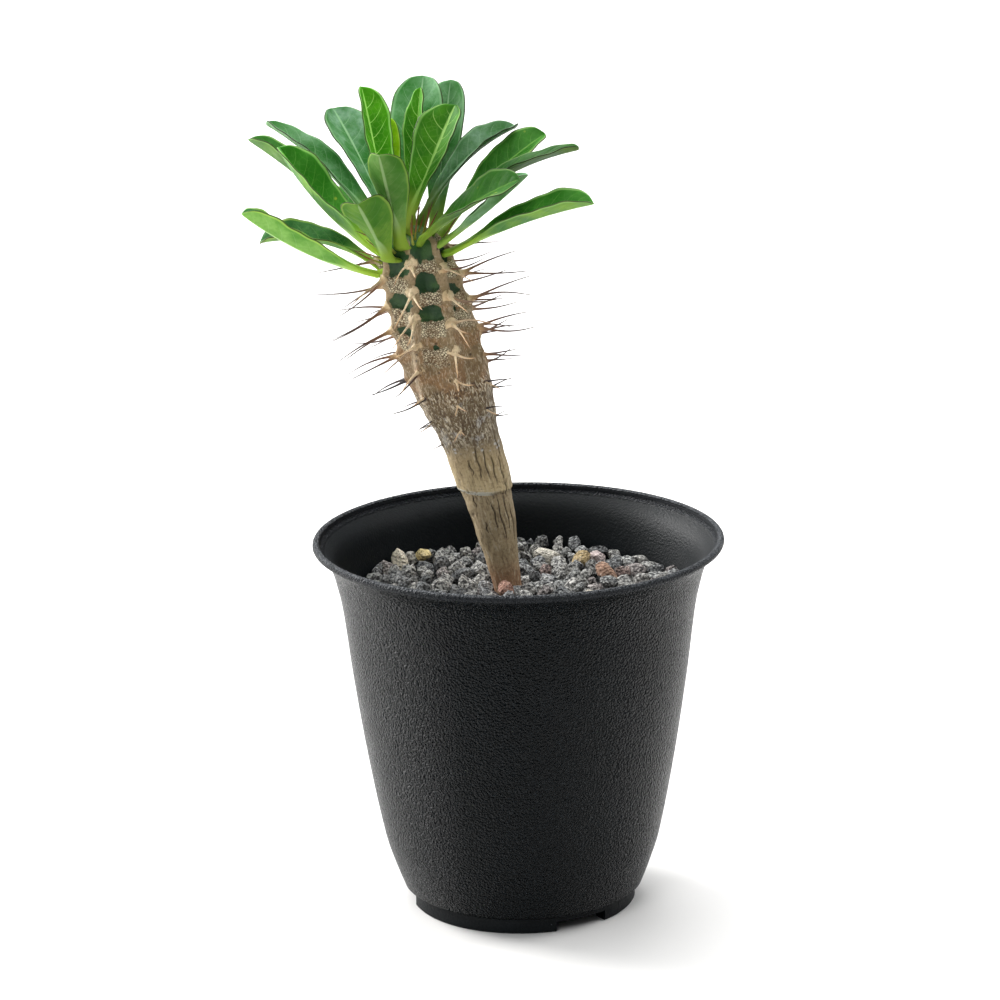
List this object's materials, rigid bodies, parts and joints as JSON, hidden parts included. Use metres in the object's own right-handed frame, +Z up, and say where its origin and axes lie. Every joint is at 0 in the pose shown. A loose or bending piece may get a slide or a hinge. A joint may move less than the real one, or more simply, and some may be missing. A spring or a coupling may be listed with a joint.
{
  "type": "potted euphorbia",
  "caption": "Young spiny club-stemmed euphorbia with a tuft of green leaves, leaning in a round black plastic nursery pot topped with dark gravel.",
  "frame": {"origin": "on the standing surface, under the middle of the whole object's bounding box; the pot's own axis stands 5.3 mm to +X of it", "axes": "+Z up along the pot's axis, +X to the right and +Y away as the picture is seen, so the stem leans towards -X"},
  "size_m": [0.0858, 0.0748, 0.1519],
  "materials": {
    "pot_plastic": "black moulded plastic with a fine leather-like grain outside and smooth satin inside",
    "soil": "dark brown potting soil",
    "gravel_stone": "rough dark grey lava gravel with a few cream, tan and reddish stones",
    "stem_bark": "corky tan bark, greyer and smoother low down, green between the ribs at the top",
    "leaf_green": "satin green with a pale midrib, pale side veins and a thin pale edge"
  },
  "bodies": {
    "root": {"pot": "pot_plastic", "soil": "soil", "gravel": "gravel_stone", "stem": "stem_bark", "leaf_01": "leaf_green", "leaf_02": "leaf_green", "leaf_03": "leaf_green", "leaf_04": "leaf_green", "leaf_05": "leaf_green", "leaf_06": "leaf_green", "leaf_07": "leaf_green", "leaf_08": "leaf_green", "leaf_09": "leaf_green", "leaf_10": "leaf_green", "leaf_11": "leaf_green", "leaf_12": "leaf_green", "leaf_13": "leaf_green", "leaf_14": "leaf_green", "leaf_15": "leaf_green", "leaf_16": "leaf_green", "leaf_17": "leaf_green", "leaf_18": "leaf_green", "leaf_19": "leaf_green", "leaf_20": "leaf_green", "leaf_21": "leaf_green", "leaf_22": "leaf_green"}
  },
  "joints": []
}
